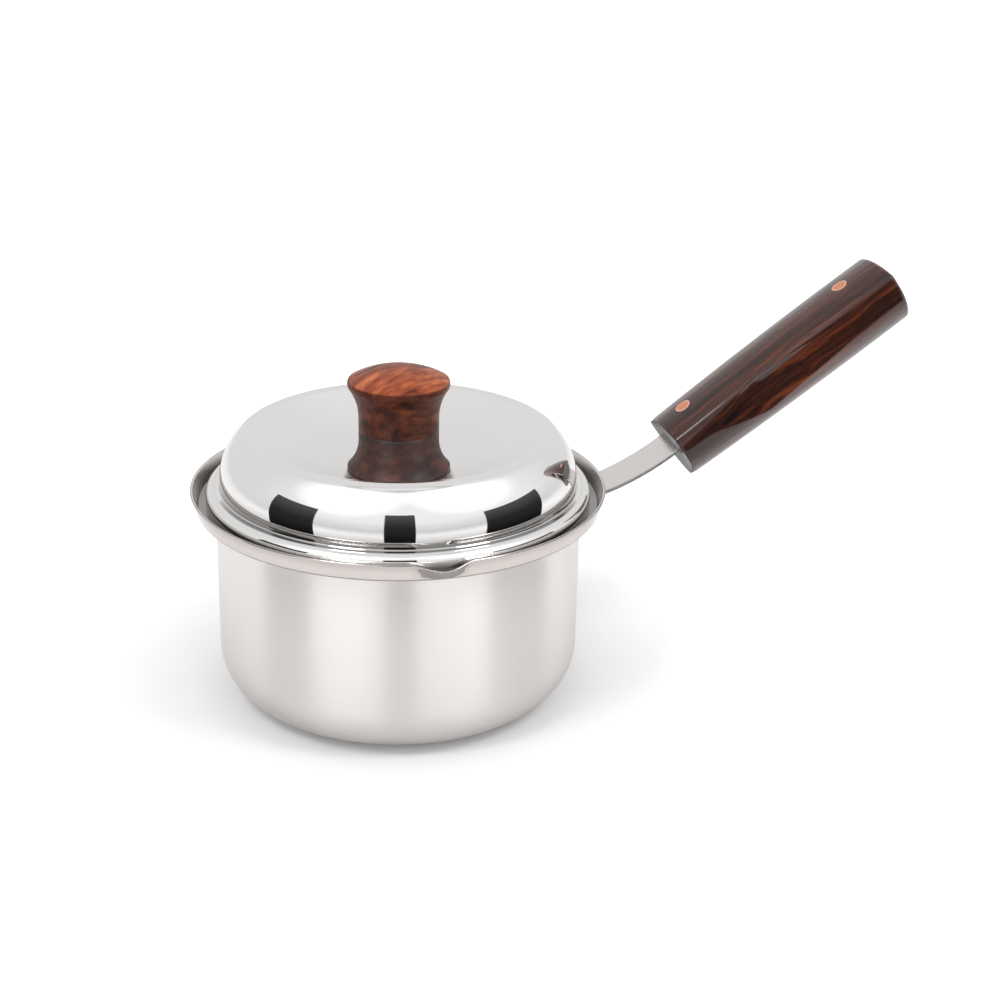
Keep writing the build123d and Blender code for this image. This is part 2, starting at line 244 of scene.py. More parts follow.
@dataclass(frozen=True)
class TurnedSteel:
    """Steel finished on a lathe: fine lines round the axis, satin to polished."""

    name: str
    colour: Triple = (0.80, 0.79, 0.78)
    roughness: float = 0.28
    vary: float = 0.05
    fine: float = 2600.0
    slow: float = 9.0
    bump: float = 0.03
    anisotropic: float = 0.6
    turn: float = 0.0
    dull_share: float = 0.94
    satin_inside: float = 0.0
    satin_run: Point = (-0.005, 0.002)
    satin_roughness: float = 0.24
    # Painted shade: the colour runs from the share shade at the first height to the whole colour at the
    # second
    painted_shade_heights: Point = (0.0, 0.0)
    shade: float = 1.0
    # Painted shade near the foot of a steep side, where it would mirror the floor
    foot_radius: float = 0.0
    foot_heights: Point = (0.0, 0.0)
    foot_seam: float = 0.0006
    foot_ease: float = 0.001
    foot_painted_shade: float = 1.0

    def build(self) -> bpy.types.Material:
        """Makes the material.

        Returns:
            The finished material.
        """
        sheet = FinishSheet(self.name)
        place = sheet.place()
        height = sheet.axis(place, "Z")
        radius = sheet.length(sheet.mapped(place, Scale=(1.0, 1.0, 0.0)))
        noise = sheet.noise(self.lines(sheet, place, sheet.math("ADD", radius, height)), detail=4.0)
        rough = sheet.range(noise, NOISE_SPAN, (self.roughness - self.vary, self.roughness + self.vary))
        if self.satin_inside:
            run = tuple(self.satin_inside + step for step in self.satin_run)
            zone = sheet.range(radius, run, (self.satin_roughness, 0.0), smooth=True)
            rough = sheet.math("MAXIMUM", zone, rough)
        tone = sheet.tone(noise, self.colour, self.dull_share)
        # Painted shade: the colour is darkened towards one of two heights
        if self.shade < 1.0:
            tone = sheet.scaled(tone, sheet.range(height, self.painted_shade_heights, (self.shade, 1.0)))
        # Painted shade at the foot of a steep side
        if self.foot_painted_shade < 1.0:
            tone = sheet.scaled(tone, self.foot(sheet, height, radius))
        sheet.bump(noise, self.bump)
        sheet.set(Base_Color=tone, Roughness=rough, Metallic=1.0)
        sheet.set(Anisotropic=self.anisotropic, Anisotropic_Rotation=self.turn)
        if self.anisotropic:
            sheet.set(Tangent=sheet.add("Tangent", "Tangent", {}, direction_type="RADIAL", axis="Z"))
        return sheet.material

    def lines(self, sheet: FinishSheet, place: Pair, across: Pair) -> Pair:
        """Coordinates that change fast across the turned lines and slowly along them.

        Args:
            sheet: the material's nodes.
            place: the Object coordinates.
            across: the way across the lines.

        Returns:
            The coordinates.
        """
        x, y = (sheet.math("MULTIPLY", sheet.axis(place, axis), self.slow) for axis in ("X", "Y"))
        z = sheet.math("MULTIPLY", across, self.fine)
        return sheet.add("CombineXYZ", "Vector", {"X": x, "Y": y, "Z": z})

    def foot(self, sheet: FinishSheet, height: Pair, radius: Pair) -> Pair:
        """The painted shade near the foot of a steep side, where it faces the floor: the share of its
        colour that is kept.

        Args:
            sheet: the material's nodes.
            height: the height.
            radius: the distance from the axis.

        Returns:
            That share, which is 1 below the foot and inside its radius.
        """
        seam = (self.foot_heights[0] - self.foot_seam, self.foot_heights[0])
        edge = (self.foot_radius - self.foot_ease, self.foot_radius)
        rise = sheet.range(height, self.foot_heights, (self.foot_painted_shade, 1.0))
        most = sheet.math("MAXIMUM", rise, sheet.range(height, seam, (1.0, 0.0)))
        return sheet.math("MAXIMUM", most, sheet.range(radius, edge, (1.0, 0.0)))


@dataclass(frozen=True)
class FlatSteel:
    """Strip and plate steel with fine lines along one direction."""

    name: str
    colour: Triple = (0.74, 0.73, 0.72)
    roughness: float = 0.26
    vary: Point = (-0.04, 0.05)
    lines: Triple = (20.0, 2500.0, 20.0)
    turn: float = 0.0
    glancing: float = 1.0
    dull_share: float = 0.93
    bump: float = 0.04

    def build(self) -> bpy.types.Material:
        """Makes the material.

        Returns:
            The finished material.
        """
        sheet = FinishSheet(self.name)
        turned = sheet.mapped(sheet.place(), Rotation=(0.0, self.turn, 0.0))
        noise = sheet.noise(sheet.mapped(turned, Scale=self.lines), detail=3.0)
        rough = sheet.range(noise, NOISE_SPAN, tuple(self.roughness + v for v in self.vary))
        sheet.bump(noise, self.bump)
        sheet.set(Base_Color=sheet.tone(noise, self.colour, self.dull_share), Roughness=rough)
        sheet.set(Metallic=1.0, Specular_Tint=(self.glancing, self.glancing, self.glancing, 1.0))
        return sheet.material


@dataclass(frozen=True)
class Rosewood:
    """Oiled and lacquered rosewood: dark figure, red-brown streaks, open pores."""

    name: str
    dark: Triple
    middle: Triple
    light: Triple
    turn: Triple = (0.0, 0.0, 0.0)
    streak: Triple = (14.0, 420.0, 420.0)
    figure: Triple = (9.0, 120.0, 120.0)
    pores: Triple = (160.0, 4200.0, 4200.0)
    figure_share: float = 0.55
    spread: Point = (0.36, 0.66)
    warp: float = 0.004
    warp_scale: float = 38.0
    pore_span: Point = (0.30, 0.42)
    pore_shade: float = 0.35
    roughness: float = 0.32
    vary: Point = (0.08, -0.06)
    coat: float = 0.6
    coat_roughness: float = 0.06
    coat_index: float = 1.45
    specular: float = 0.25
    bump: float = 0.05
    # Painted shade: below crown_height the colour falls to side_share, darkening the sides
    crown_height: float = 0.0
    crown_run: Point = (-0.0004, 0.0002)
    side_share: float = 1.0

    def build(self) -> bpy.types.Material:
        """Makes the material.

        Returns:
            The finished material.
        """
        sheet = FinishSheet(self.name)
        place = sheet.place()
        grain = self.grain(sheet, place)
        figure = sheet.noise(sheet.mapped(grain, Scale=self.figure), detail=3.0)
        streak = sheet.noise(sheet.mapped(grain, Scale=self.streak), detail=5.0)
        pores = sheet.noise(sheet.mapped(grain, Scale=self.pores), detail=2.0)
        pore = sheet.range(pores, self.pore_span, (self.pore_shade, 1.0))
        shade = sheet.scaled(self.tone(sheet, figure, streak), pore)
        # Painted shade: the sides below the crown are darkened
        if self.side_share < 1.0:
            run = tuple(self.crown_height + step for step in self.crown_run)
            side_painted_shade = sheet.range(sheet.axis(place, "Z"), run, (self.side_share, 1.0))
            shade = sheet.scaled(shade, side_painted_shade)
        rough = sheet.range(streak, NOISE_SPAN, tuple(self.roughness + v for v in self.vary))
        sheet.bump(pore, self.bump)
        sheet.set(Base_Color=shade, Roughness=rough, Specular_IOR_Level=self.specular)
        sheet.set(Coat_Weight=self.coat, Coat_Roughness=self.coat_roughness, Coat_IOR=self.coat_index)
        return sheet.material

    def grain(self, sheet: FinishSheet, place: Pair) -> Pair:
        """Coordinates along the grain, which wanders a little.

        Args:
            sheet: the material's nodes.
            place: the Object coordinates.

        Returns:
            The coordinates.
        """
        turned = sheet.mapped(place, Rotation=self.turn)
        drift, _ = sheet.noise(turned, detail=2.0, scale=self.warp_scale, rough=0.5)
        centred = sheet.vector("SUBTRACT", (drift, "Color"), (0.5, 0.5, 0.5))
        return sheet.vector("ADD", turned, sheet.scaled(centred, self.warp))

    def tone(self, sheet: FinishSheet, figure: Pair, streak: Pair) -> Pair:
        """The wood's colour, from its broad figure and its fine streaks.

        Args:
            sheet: the material's nodes.
            figure: the broad noise.
            streak: the fine noise.

        Returns:
            The colour.
        """
        broad = sheet.math("MULTIPLY", figure, self.figure_share)
        fine = sheet.math("MULTIPLY", streak, 1.0 - self.figure_share)
        low, high = self.spread
        step = (high - low) / 4
        between = tuple((a + b) / 2 for a, b in zip(self.dark, self.middle))
        places = (low, low + step, low + 2 * step, high)
        colours = (self.dark, between, self.middle, self.light)
        return sheet.ramp(places, colours, sheet.math("ADD", broad, fine))


@dataclass(frozen=True)
class GroundMetal:
    """Soft metal ground flush, with fine scratches and a paler rim round each pin."""

    name: str
    colour: Triple
    rim: Triple = (0.0, 0.0, 0.0)
    axis_points: tuple[Triple, ...] = ()
    rim_run: Point = (0.0024, 0.0030)
    scratches: Triple = (900.0, 5200.0, 900.0)
    dull_share: float = 0.86
    roughness: float = 0.34
    vary: Point = (-0.06, 0.08)

    def build(self) -> bpy.types.Material:
        """Makes the material.

        Returns:
            The finished material.
        """
        sheet = FinishSheet(self.name)
        place = sheet.place()
        noise = sheet.noise(sheet.mapped(place, Scale=self.scratches), detail=3.0)
        tone = sheet.tone(noise, self.colour, self.dull_share, NOISE_SPAN)
        if self.axis_points:
            edge = sheet.range(self.away(sheet, place), self.rim_run, (0.0, 1.0))
            tone = sheet.colour_mix(edge, tone, (*self.rim, 1.0))
        rough = sheet.range(noise, NOISE_SPAN, tuple(self.roughness + v for v in self.vary))
        sheet.set(Base_Color=tone, Roughness=rough, Metallic=1.0)
        return sheet.material

    def away(self, sheet: FinishSheet, place: Pair) -> Pair:
        """The distance from the nearest pin's axis.

        Args:
            sheet: the material's nodes.
            place: the Object coordinates.

        Returns:
            The distance.
        """
        reaches = []
        for centre in self.axis_points:
            offset = sheet.vector("SUBTRACT", place, centre)
            reaches.append(sheet.length(sheet.vector("CROSS_PRODUCT", offset, tuple(NORMAL))))
        nearest = reaches[0]
        for reach in reaches[1:]:
            nearest = sheet.math("MINIMUM", nearest, reach)
        return nearest


# Outlines and the workshop


class Outline:
    """A profile in the half plane through the axis, in millimetres."""

    def __init__(self, start: Point) -> None:
        """Starts the outline at a point."""
        self.points: list[Point] = [start]

    def line(self, end: Point, steps: int = 1) -> "Outline":
        """Adds a straight run.

        Args:
            end: its end.
            steps: how many runs it is divided into.

        Returns:
            The outline itself.
        """
        x0, z0 = self.points[-1]
        for i in range(1, steps + 1):
            t = i / steps
            self.points.append((x0 + (end[0] - x0) * t, z0 + (end[1] - z0) * t))
        return self

    def arc(self, centre: Point, radius: float, start: float, end: float, steps: int) -> "Outline":
        """Adds an arc about a centre.

        Args:
            centre: the arc's centre.
            radius: its radius.
            start: its first angle, in degrees up from the outward direction.
            end: its last angle.
            steps: how many runs it is divided into.

        Returns:
            The outline itself.
        """
        for i in range(steps + 1):
            a = math.radians(start + (end - start) * i / steps)
            point = (centre[0] + radius * math.cos(a), centre[1] + radius * math.sin(a))
            if math.dist(point, self.points[-1]) > 1e-4:
                self.points.append(point)
        return self

    def about(self, centre: Point, end: Point, steps: int) -> "Outline":
        """Adds the shorter arc about a centre, from the last point to an end.

        Args:
            centre: the arc's centre.
            end: where it ends.
            steps: how many runs it is divided into.

        Returns:
            The outline itself.
        """
        start = self.points[-1]
        arms = (Vector(start) - Vector(centre), Vector(end) - Vector(centre))
        first, last = (math.degrees(math.atan2(arm.y, arm.x)) for arm in arms)
        last = first + (last - first + 180) % 360 - 180
        return self.arc(centre, math.dist(centre, start), first, last, steps)

    def bow(self, via: Point, end: Point, steps: int) -> "Outline":
        """Adds the arc of under half a turn from the last point through via to end."""
        return self.about(circle_centre(self.points[-1], via, end), end, steps)


def circle_centre(a: Point, b: Point, c: Point) -> Point:
    """Finds the centre of the circle through three points.

    Args:
        a: the first point.
        b: the second.
        c: the third.

    Returns:
        The centre.
    """
    d = 2 * (a[0] * (b[1] - c[1]) + b[0] * (c[1] - a[1]) + c[0] * (a[1] - b[1]))
    sa, sb, sc = (p[0] ** 2 + p[1] ** 2 for p in (a, b, c))
    x = (sa * (b[1] - c[1]) + sb * (c[1] - a[1]) + sc * (a[1] - b[1])) / d
    y = (sa * (c[0] - b[0]) + sb * (a[0] - c[0]) + sc * (b[0] - a[0])) / d
    return (x, y)


class Workshop:
    """Makes pieces with the modelling operators and hands them to the frame."""

    def __init__(self) -> None:
        """Starts with nothing selected."""
        bpy.ops.object.select_all(action="DESELECT")

    def only(self, piece: bpy.types.Object) -> None:
        """Selects one piece and makes it active.

        Args:
            piece: the piece.
        """
        bpy.ops.object.select_all(action="DESELECT")
        piece.select_set(True)
        bpy.context.view_layer.objects.active = piece

    def put(self, name: str, mesh: bpy.types.Mesh) -> bpy.types.Object:
        """Puts a mesh in the scene.

        Args:
            name: the piece's name.
            mesh: its mesh.

        Returns:
            The piece, at the origin.
        """
        piece = bpy.data.objects.new(name, mesh)
        bpy.context.scene.collection.objects.link(piece)
        return piece

    def cast(self, name: str, form: bmesh.types.BMesh) -> bpy.types.Object:
        """Makes a piece of a form, and frees the form.

        Args:
            name: the piece's name.
            form: its shape.

        Returns:
            The piece.
        """
        mesh = bpy.data.meshes.new(name)
        form.to_mesh(mesh)
        form.free()
        return self.put(name, mesh)

    def turn(self, name: str, outline: Outline, steps: int, closed: bool = True) -> bpy.types.Object:
        """Spins an outline round the vertical axis.

        Args:
            name: the piece's name.
            outline: the profile to spin.
            steps: how many steps make a full turn.
            closed: whether the outline's last point joins its first.

        Returns:
            The new object, with merged seams and poles and its faces outwards.
        """
        points = [(r * MM, 0.0, z * MM) for r, z in outline.points]
        edges = [(i, i + 1) for i in range(len(points) - 1)]
        if closed:
            edges.append((len(points) - 1, 0))
        mesh = bpy.data.meshes.new(name)
        mesh.from_pydata(points, edges, [])
        piece = self.put(name, mesh)
        self.only(piece)
        bpy.ops.object.mode_set(mode="EDIT")
        bpy.ops.mesh.select_all(action="SELECT")
        bpy.ops.mesh.spin(steps=steps, angle=math.tau, center=(0, 0, 0), axis=(0, 0, 1))
        bpy.ops.mesh.select_all(action="SELECT")
        bpy.ops.mesh.remove_doubles(threshold=2e-6)
        bpy.ops.mesh.delete_loose()
        bpy.ops.mesh.select_all(action="SELECT")
        bpy.ops.mesh.normals_make_consistent(inside=False)
        bpy.ops.object.mode_set(mode="OBJECT")
        return piece

    def tubes(self, name: str, runs: list[list[list[Vector]]], merge: bool = False) -> bpy.types.Object:
        """Joins each run of rings into a closed tube with flat ends.

        Args:
            name: the piece's name.
            runs: the rings of each tube, in millimetres.
            merge: whether points that meet become one.

        Returns:
            The piece, with its faces outwards.
        """
        form = bmesh.new()
        for rings in runs:
            made = [[form.verts.new(p * MM) for p in ring] for ring in rings]
            for a, b in zip(made, made[1:]):
                for i in range(len(a)):
                    j = (i + 1) % len(a)
                    form.faces.new((a[i], a[j], b[j], b[i]))
            form.faces.new(made[0][::-1])
            form.faces.new(made[-1])
        if merge:
            bmesh.ops.remove_doubles(form, verts=form.verts, dist=1e-6)
        bmesh.ops.recalc_face_normals(form, faces=form.faces)
        return self.cast(name, form)

    def smooth(self, piece: bpy.types.Object, degrees: float) -> None:
        """Shades a piece smooth, apart from edges sharper than an angle."""
        self.only(piece)
        bpy.ops.object.shade_smooth_by_angle(angle=math.radians(degrees))

    def thicken(self, piece: bpy.types.Object, wall: float) -> None:
        """Gives an open sheet its wall, below and inside it.

        Args:
            piece: the sheet, with its faces outwards.
            wall: the wall's thickness, in millimetres.
        """
        self.only(piece)
        made = piece.modifiers.new("wall", "SOLIDIFY")
        made.thickness = wall * MM
        made.offset = -1.0
        made.use_even_offset = True
        bpy.ops.object.modifier_apply(modifier=made.name)

    def deliver(
        self,
        piece: bpy.types.Object,
        body: Body,
        slot: str,
        material: bpy.types.Material,
        *nodes: str,
    ) -> None:
        """Gives a finished piece its material and its place in the frame.

        Args:
            piece: the piece.
            body: what it rides on.
            slot: a material slot's name, which is not used.
            material: its material.
            nodes: the CAD nodes that it stands for.
        """
        piece.data.materials.clear()
        piece.data.materials.append(material)
        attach(piece, body.value)
        if nodes:
            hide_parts(*nodes)
        LOG.info("%s: %d faces, rides on %s", piece.name, len(piece.data.polygons), body.value)

    def dress(self, material: bpy.types.Material, *nodes: str) -> None:
        """Gives CAD nodes a better material.

        Args:
            material: the material.
            nodes: the nodes.
        """
        for node in nodes:
            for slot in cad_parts[node].material_slots:
                slot.material = material
            LOG.info("%s: dressed in %s", node, material.name)


# The pan


@dataclass
class PanBody:
    """The pressed pan: base, wall, ledge and flared rim, with the pouring lip drawn in it."""

    bore: float = 70.0
    wall: float = 1.0
    corner: float = 20.5
    ledge: float = 77.8
    ledge_radius: float = 78.4
    rim_height: float = 7.4
    rim_flare: float = 2.3
    inner_bend: float = 1.2
    outer_bend: float = 1.6
    rim_round: float = 0.42
    rim_shoulder: float = 1.3
    lip_from: float = 0.9
    lip_out: float = 2.9
    lip_drop: float = 2.1
    lip_centre: float = -2.0
    lip_left: float = 9.6
    lip_right: float = 8.4
    out_power: float = 1.4
    drop_power: float = 1.6
    drop_swell: float = 1.2
    wall_top: float = -0.6
    ledge_reach: float = 3.0
    under_slope: float = -0.45
    facing_slope: float = 0.3
    steps: int = 540
    finish: TurnedSteel = TurnedSteel(
        "pan_satin_steel",
        colour=(0.905, 0.872, 0.855),
        roughness=0.36,
        vary=0.03,
        fine=3400.0,
        bump=0.012,
        anisotropic=0.85,
        turn=0.25,
        dull_share=0.97,
    )
    # The polished rim, with painted shade that darkens its colour towards the top
    rim_polish_and_painted_shade: TurnedSteel = TurnedSteel(
        "pan_polished_rim_painted_shade",
        colour=(0.76, 0.70, 0.672),
        roughness=0.13,
        vary=0.02,
        bump=0.006,
        anisotropic=0.0,
        painted_shade_heights=(0.0852, 0.0815),
        shade=0.72,
    )
    # Painted shade in the gap under the lid: the inside of the rim and the ledge, darker low down
    gap_painted_shade: TurnedSteel = TurnedSteel(
        "pan_inside_ledge_painted_shade",
        colour=(0.82, 0.79, 0.77),
        roughness=0.20,
        vary=0.03,
        bump=0.01,
        anisotropic=0.0,
        painted_shade_heights=(0.0788, 0.0822),
        shade=0.42,
    )
    # Painted shade: the downward faces under the ledge are a dark steel colour
    under_ledge_painted_shade: TurnedSteel = TurnedSteel(
        "pan_under_ledge_painted_shade",
        colour=(0.42, 0.39, 0.375),
        roughness=0.30,
        vary=0.03,
        bump=0.01,
        anisotropic=0.0,
    )

    def outline(self) -> Outline:
        """Draws the pan's profile, from the centre of the underside round to the inside.

        Returns:
            The profile.
        """
        outer, inner = self.bore + self.wall, self.bore
        lean = math.degrees(math.atan2(self.rim_flare, self.rim_height))
        tangent = math.tan(math.radians((90 - lean) / 2))
        slope = self.rim_flare / self.rim_height
        shape = Outline((0.0, 0.0)).line((outer - self.corner, 0.0), 5)
        shape.arc((outer - self.corner, self.corner), self.corner, -90, 0, 26)
        bend = self.inner_bend
        shape.line((outer, self.ledge - bend), 8)
        shape.arc((outer + bend, self.ledge - bend), bend, 180, 90, 7)
        bend = self.outer_bend
        reach = bend * tangent
        shape.line((self.ledge_radius - reach, self.ledge), 3)
        shape.arc((self.ledge_radius - reach, self.ledge + bend), bend, -90, -lean, 9)
        out = Vector((math.cos(math.radians(lean)), -math.sin(math.radians(lean))))
        down = Vector((-slope, -1.0)).normalized()
        across = self.wall / math.cos(math.radians(lean))
        outer_top = Vector((self.ledge_radius + self.rim_flare, self.ledge + self.rim_height))
        inner_top = outer_top - Vector((across, 0.0))
        edge = self.rim_round
        shoulder = outer_top + down * edge * self.rim_shoulder
        shape.line(tuple(shoulder), 14)
        shape.arc(tuple(shoulder - out * edge), edge, -lean, 90, 6)
        shape.arc(tuple(inner_top + (down + out) * edge), edge, 90, 180 - lean, 6)
        floor = self.ledge + self.wall
        foot = self.ledge_radius - across + slope * self.wall
        bend = self.outer_bend - self.wall
        shape.line((foot + slope * bend, floor + bend), 14)
        shape.arc((foot - bend * tangent, floor + bend), bend, -lean, -90, 5)
        bend = self.inner_bend + self.wall
        shape.line((inner + bend, floor), 3)
        shape.arc((inner + bend, floor - bend), bend, 90, 180, 8)
        shape.line((inner, self.corner), 8)
        inside = self.corner - self.wall
        shape.arc((inner - inside, self.corner), inside, 0, -90, 26)
        return shape.line((0.0, self.wall), 5)

    def press_lip(self, piece: bpy.types.Object) -> None:
        """Draws the pouring lip out and down, long on its left and short on its right.

        Args:
            piece: the pan.
        """
        floor = (self.ledge + self.lip_from) * MM
        top = (self.ledge + self.rim_height) * MM
        for vertex in piece.data.vertices:
            x, y, z = vertex.co
            angle = math.degrees(math.atan2(x, -y)) - self.lip_centre
            u = abs(angle) / (self.lip_left if angle < 0 else self.lip_right)
            if z <= floor or u >= 1.0:
                continue
            # The lip is widest in its middle and at the rim's top
            swell = (1 - u * u) ** 2
            t = min(1.0, (z - floor) / (top - floor))
            radius = math.hypot(x, y)
            reach = 1.0 + self.lip_out * MM * swell * t**self.out_power / radius
            drop = self.lip_drop * MM * swell**self.drop_swell * t**self.drop_power
            vertex.co = (x * reach, y * reach, z - drop)

    def zone(self, face: bpy.types.MeshPolygon) -> Zone:
        """Finds which zone of the pan a face is in.

        Args:
            face: the face.

        Returns:
            Its zone.
        """
        above = face.center.z / MM - self.ledge
        if above <= self.wall_top:
            return Zone.WALL
        # Downward faces take the painted shade under the ledge
        if face.normal.z < self.under_slope:
            return Zone.UNDER_LEDGE
        # Inward faces and the ledge's top take the painted shade of the gap
        inwards = face.normal.dot(face.center.xy.normalized().to_3d()) < -self.facing_slope
        on_ledge = face.normal.z > self.facing_slope and above < self.ledge_reach
        return Zone.GAP if inwards or on_ledge else Zone.RIM

    def build(self, shop: Workshop) -> None:
        """Builds the pan.

        Args:
            shop: the workshop.
        """
        piece = shop.turn("pan", self.outline(), self.steps, closed=False)
        self.press_lip(piece)
        shop.smooth(piece, degrees=50)
        shop.deliver(piece, Body.PAN, "pan_steel", self.finish.build(), "pan_body")
        # The rim's polish, and the painted shade of the gap and under the ledge
        for finish in (self.rim_polish_and_painted_shade, self.gap_painted_shade, self.under_ledge_painted_shade):
            piece.data.materials.append(finish.build())
        for face in piece.data.polygons:
            face.material_index = self.zone(face).value


# The handle


@dataclass
class Tang:
    """The bent steel strip, with the pad that holds it to the wall."""

    width: float = 18.6
    inner_width: float = 15.0
    tip_share: float = 0.8
    tip_run: float = 1.5
    step_in: Point = (0.05, 2.0)
    thickness: float = 1.6
    bend_radius: float = 110.0
    wall_radius: float = 71.0
    root_gap: float = 0.02
    inner_end: float = 99.5
    pad_width: float = 26.0
    pad_low: float = 71.5
    pad_high: float = 76.5
    pad_corner: float = 1.5
    pad_corner_from: float = 0.92
    pad_steps: int = 24
    edge: float = 0.3
    edge_slope: float = 0.5
    steps: int = 48
    finish: FlatSteel = FlatSteel(
        "tang_satin_steel",
        colour=(0.84, 0.80, 0.785),
        roughness=0.24,
        turn=TILT,
    )
    # Painted shade: the strip's side edges are a dark steel colour
    edge_painted_shade: FlatSteel = replace(
        finish,
        name="tang_edge_painted_shade",
        colour=(0.30, 0.29, 0.285),
        roughness=0.42,
    )

    def build(self, shop: Workshop) -> None:
        """Builds the tang.

        Args:
            shop: the workshop.
        """
        piece = shop.tubes("handle_strip", [self.strip(), self.pad()])
        shop.smooth(piece, degrees=40)
        shop.deliver(piece, Body.PAN, "satin_steel", self.finish.build(), "handle_tang")
        piece.data.materials.append(self.edge_painted_shade.build())
        for face in piece.data.polygons:
            # Faces that look sideways take the painted shade of the edges
            face.material_index = int(abs(face.normal.y) > self.edge_slope)

    def strip(self) -> list[list[Vector]]:
        """Sweeps the strip's section along its bend and into the grip.

        Returns:
            The rings of the strip.
        """
        half_w, half_t, e = self.width / 2, self.thickness / 2, self.edge
        lower = [(half_w - e, -half_t), (half_w, e - half_t)]
        side = lower + [(y, -n) for y, n in lower[::-1]]
        section = side + [(-y, n) for y, n in side[::-1]]
        centre = GRIP_START + NORMAL * self.bend_radius
        start = math.asin((self.wall_radius + self.root_gap - centre.x) / self.bend_radius)
        rings = []
        for i in range(self.steps + 1):
            lean = start + (TILT - start) * i / self.steps
            out = Vector((math.sin(lean), 0.0, -math.cos(lean)))
            rings.append([centre + out * (self.bend_radius - n) + ACROSS * y for y, n in section])
        narrow = self.inner_width / self.width
        for along in (*self.step_in, self.inner_end - self.tip_run, self.inner_end):
            share = narrow if along < self.inner_end else narrow * self.tip_share
            base = GRIP_START + ALONG * along
            rings.append([base + ACROSS * y * share + NORMAL * n for y, n in section])
        return rings

    def pad(self) -> list[list[Vector]]:
        """Bends the root pad round the wall, with its corners cut.

        Returns:
            The rings of the pad.
        """
        near, far, e = self.wall_radius, self.wall_radius + self.thickness, self.edge
        half = math.degrees(self.pad_width / 2 / self.wall_radius)
        rings = []
        for i in range(self.pad_steps + 1):
            angle = -half + 2 * half * i / self.pad_steps
            past = max(0.0, abs(angle) / half - self.pad_corner_from) / (1.0 - self.pad_corner_from)
            low, high = self.pad_low + self.pad_corner * past, self.pad_high - self.pad_corner * past
            shape = [(near, low), (far - e, low), (far, low + e)]
            shape += [(far, high - e), (far - e, high), (near, high)]
            turn = Matrix.Rotation(math.radians(angle), 4, "Z")
            rings.append([turn @ Vector((r, 0.0, z)) for r, z in shape])
        return rings


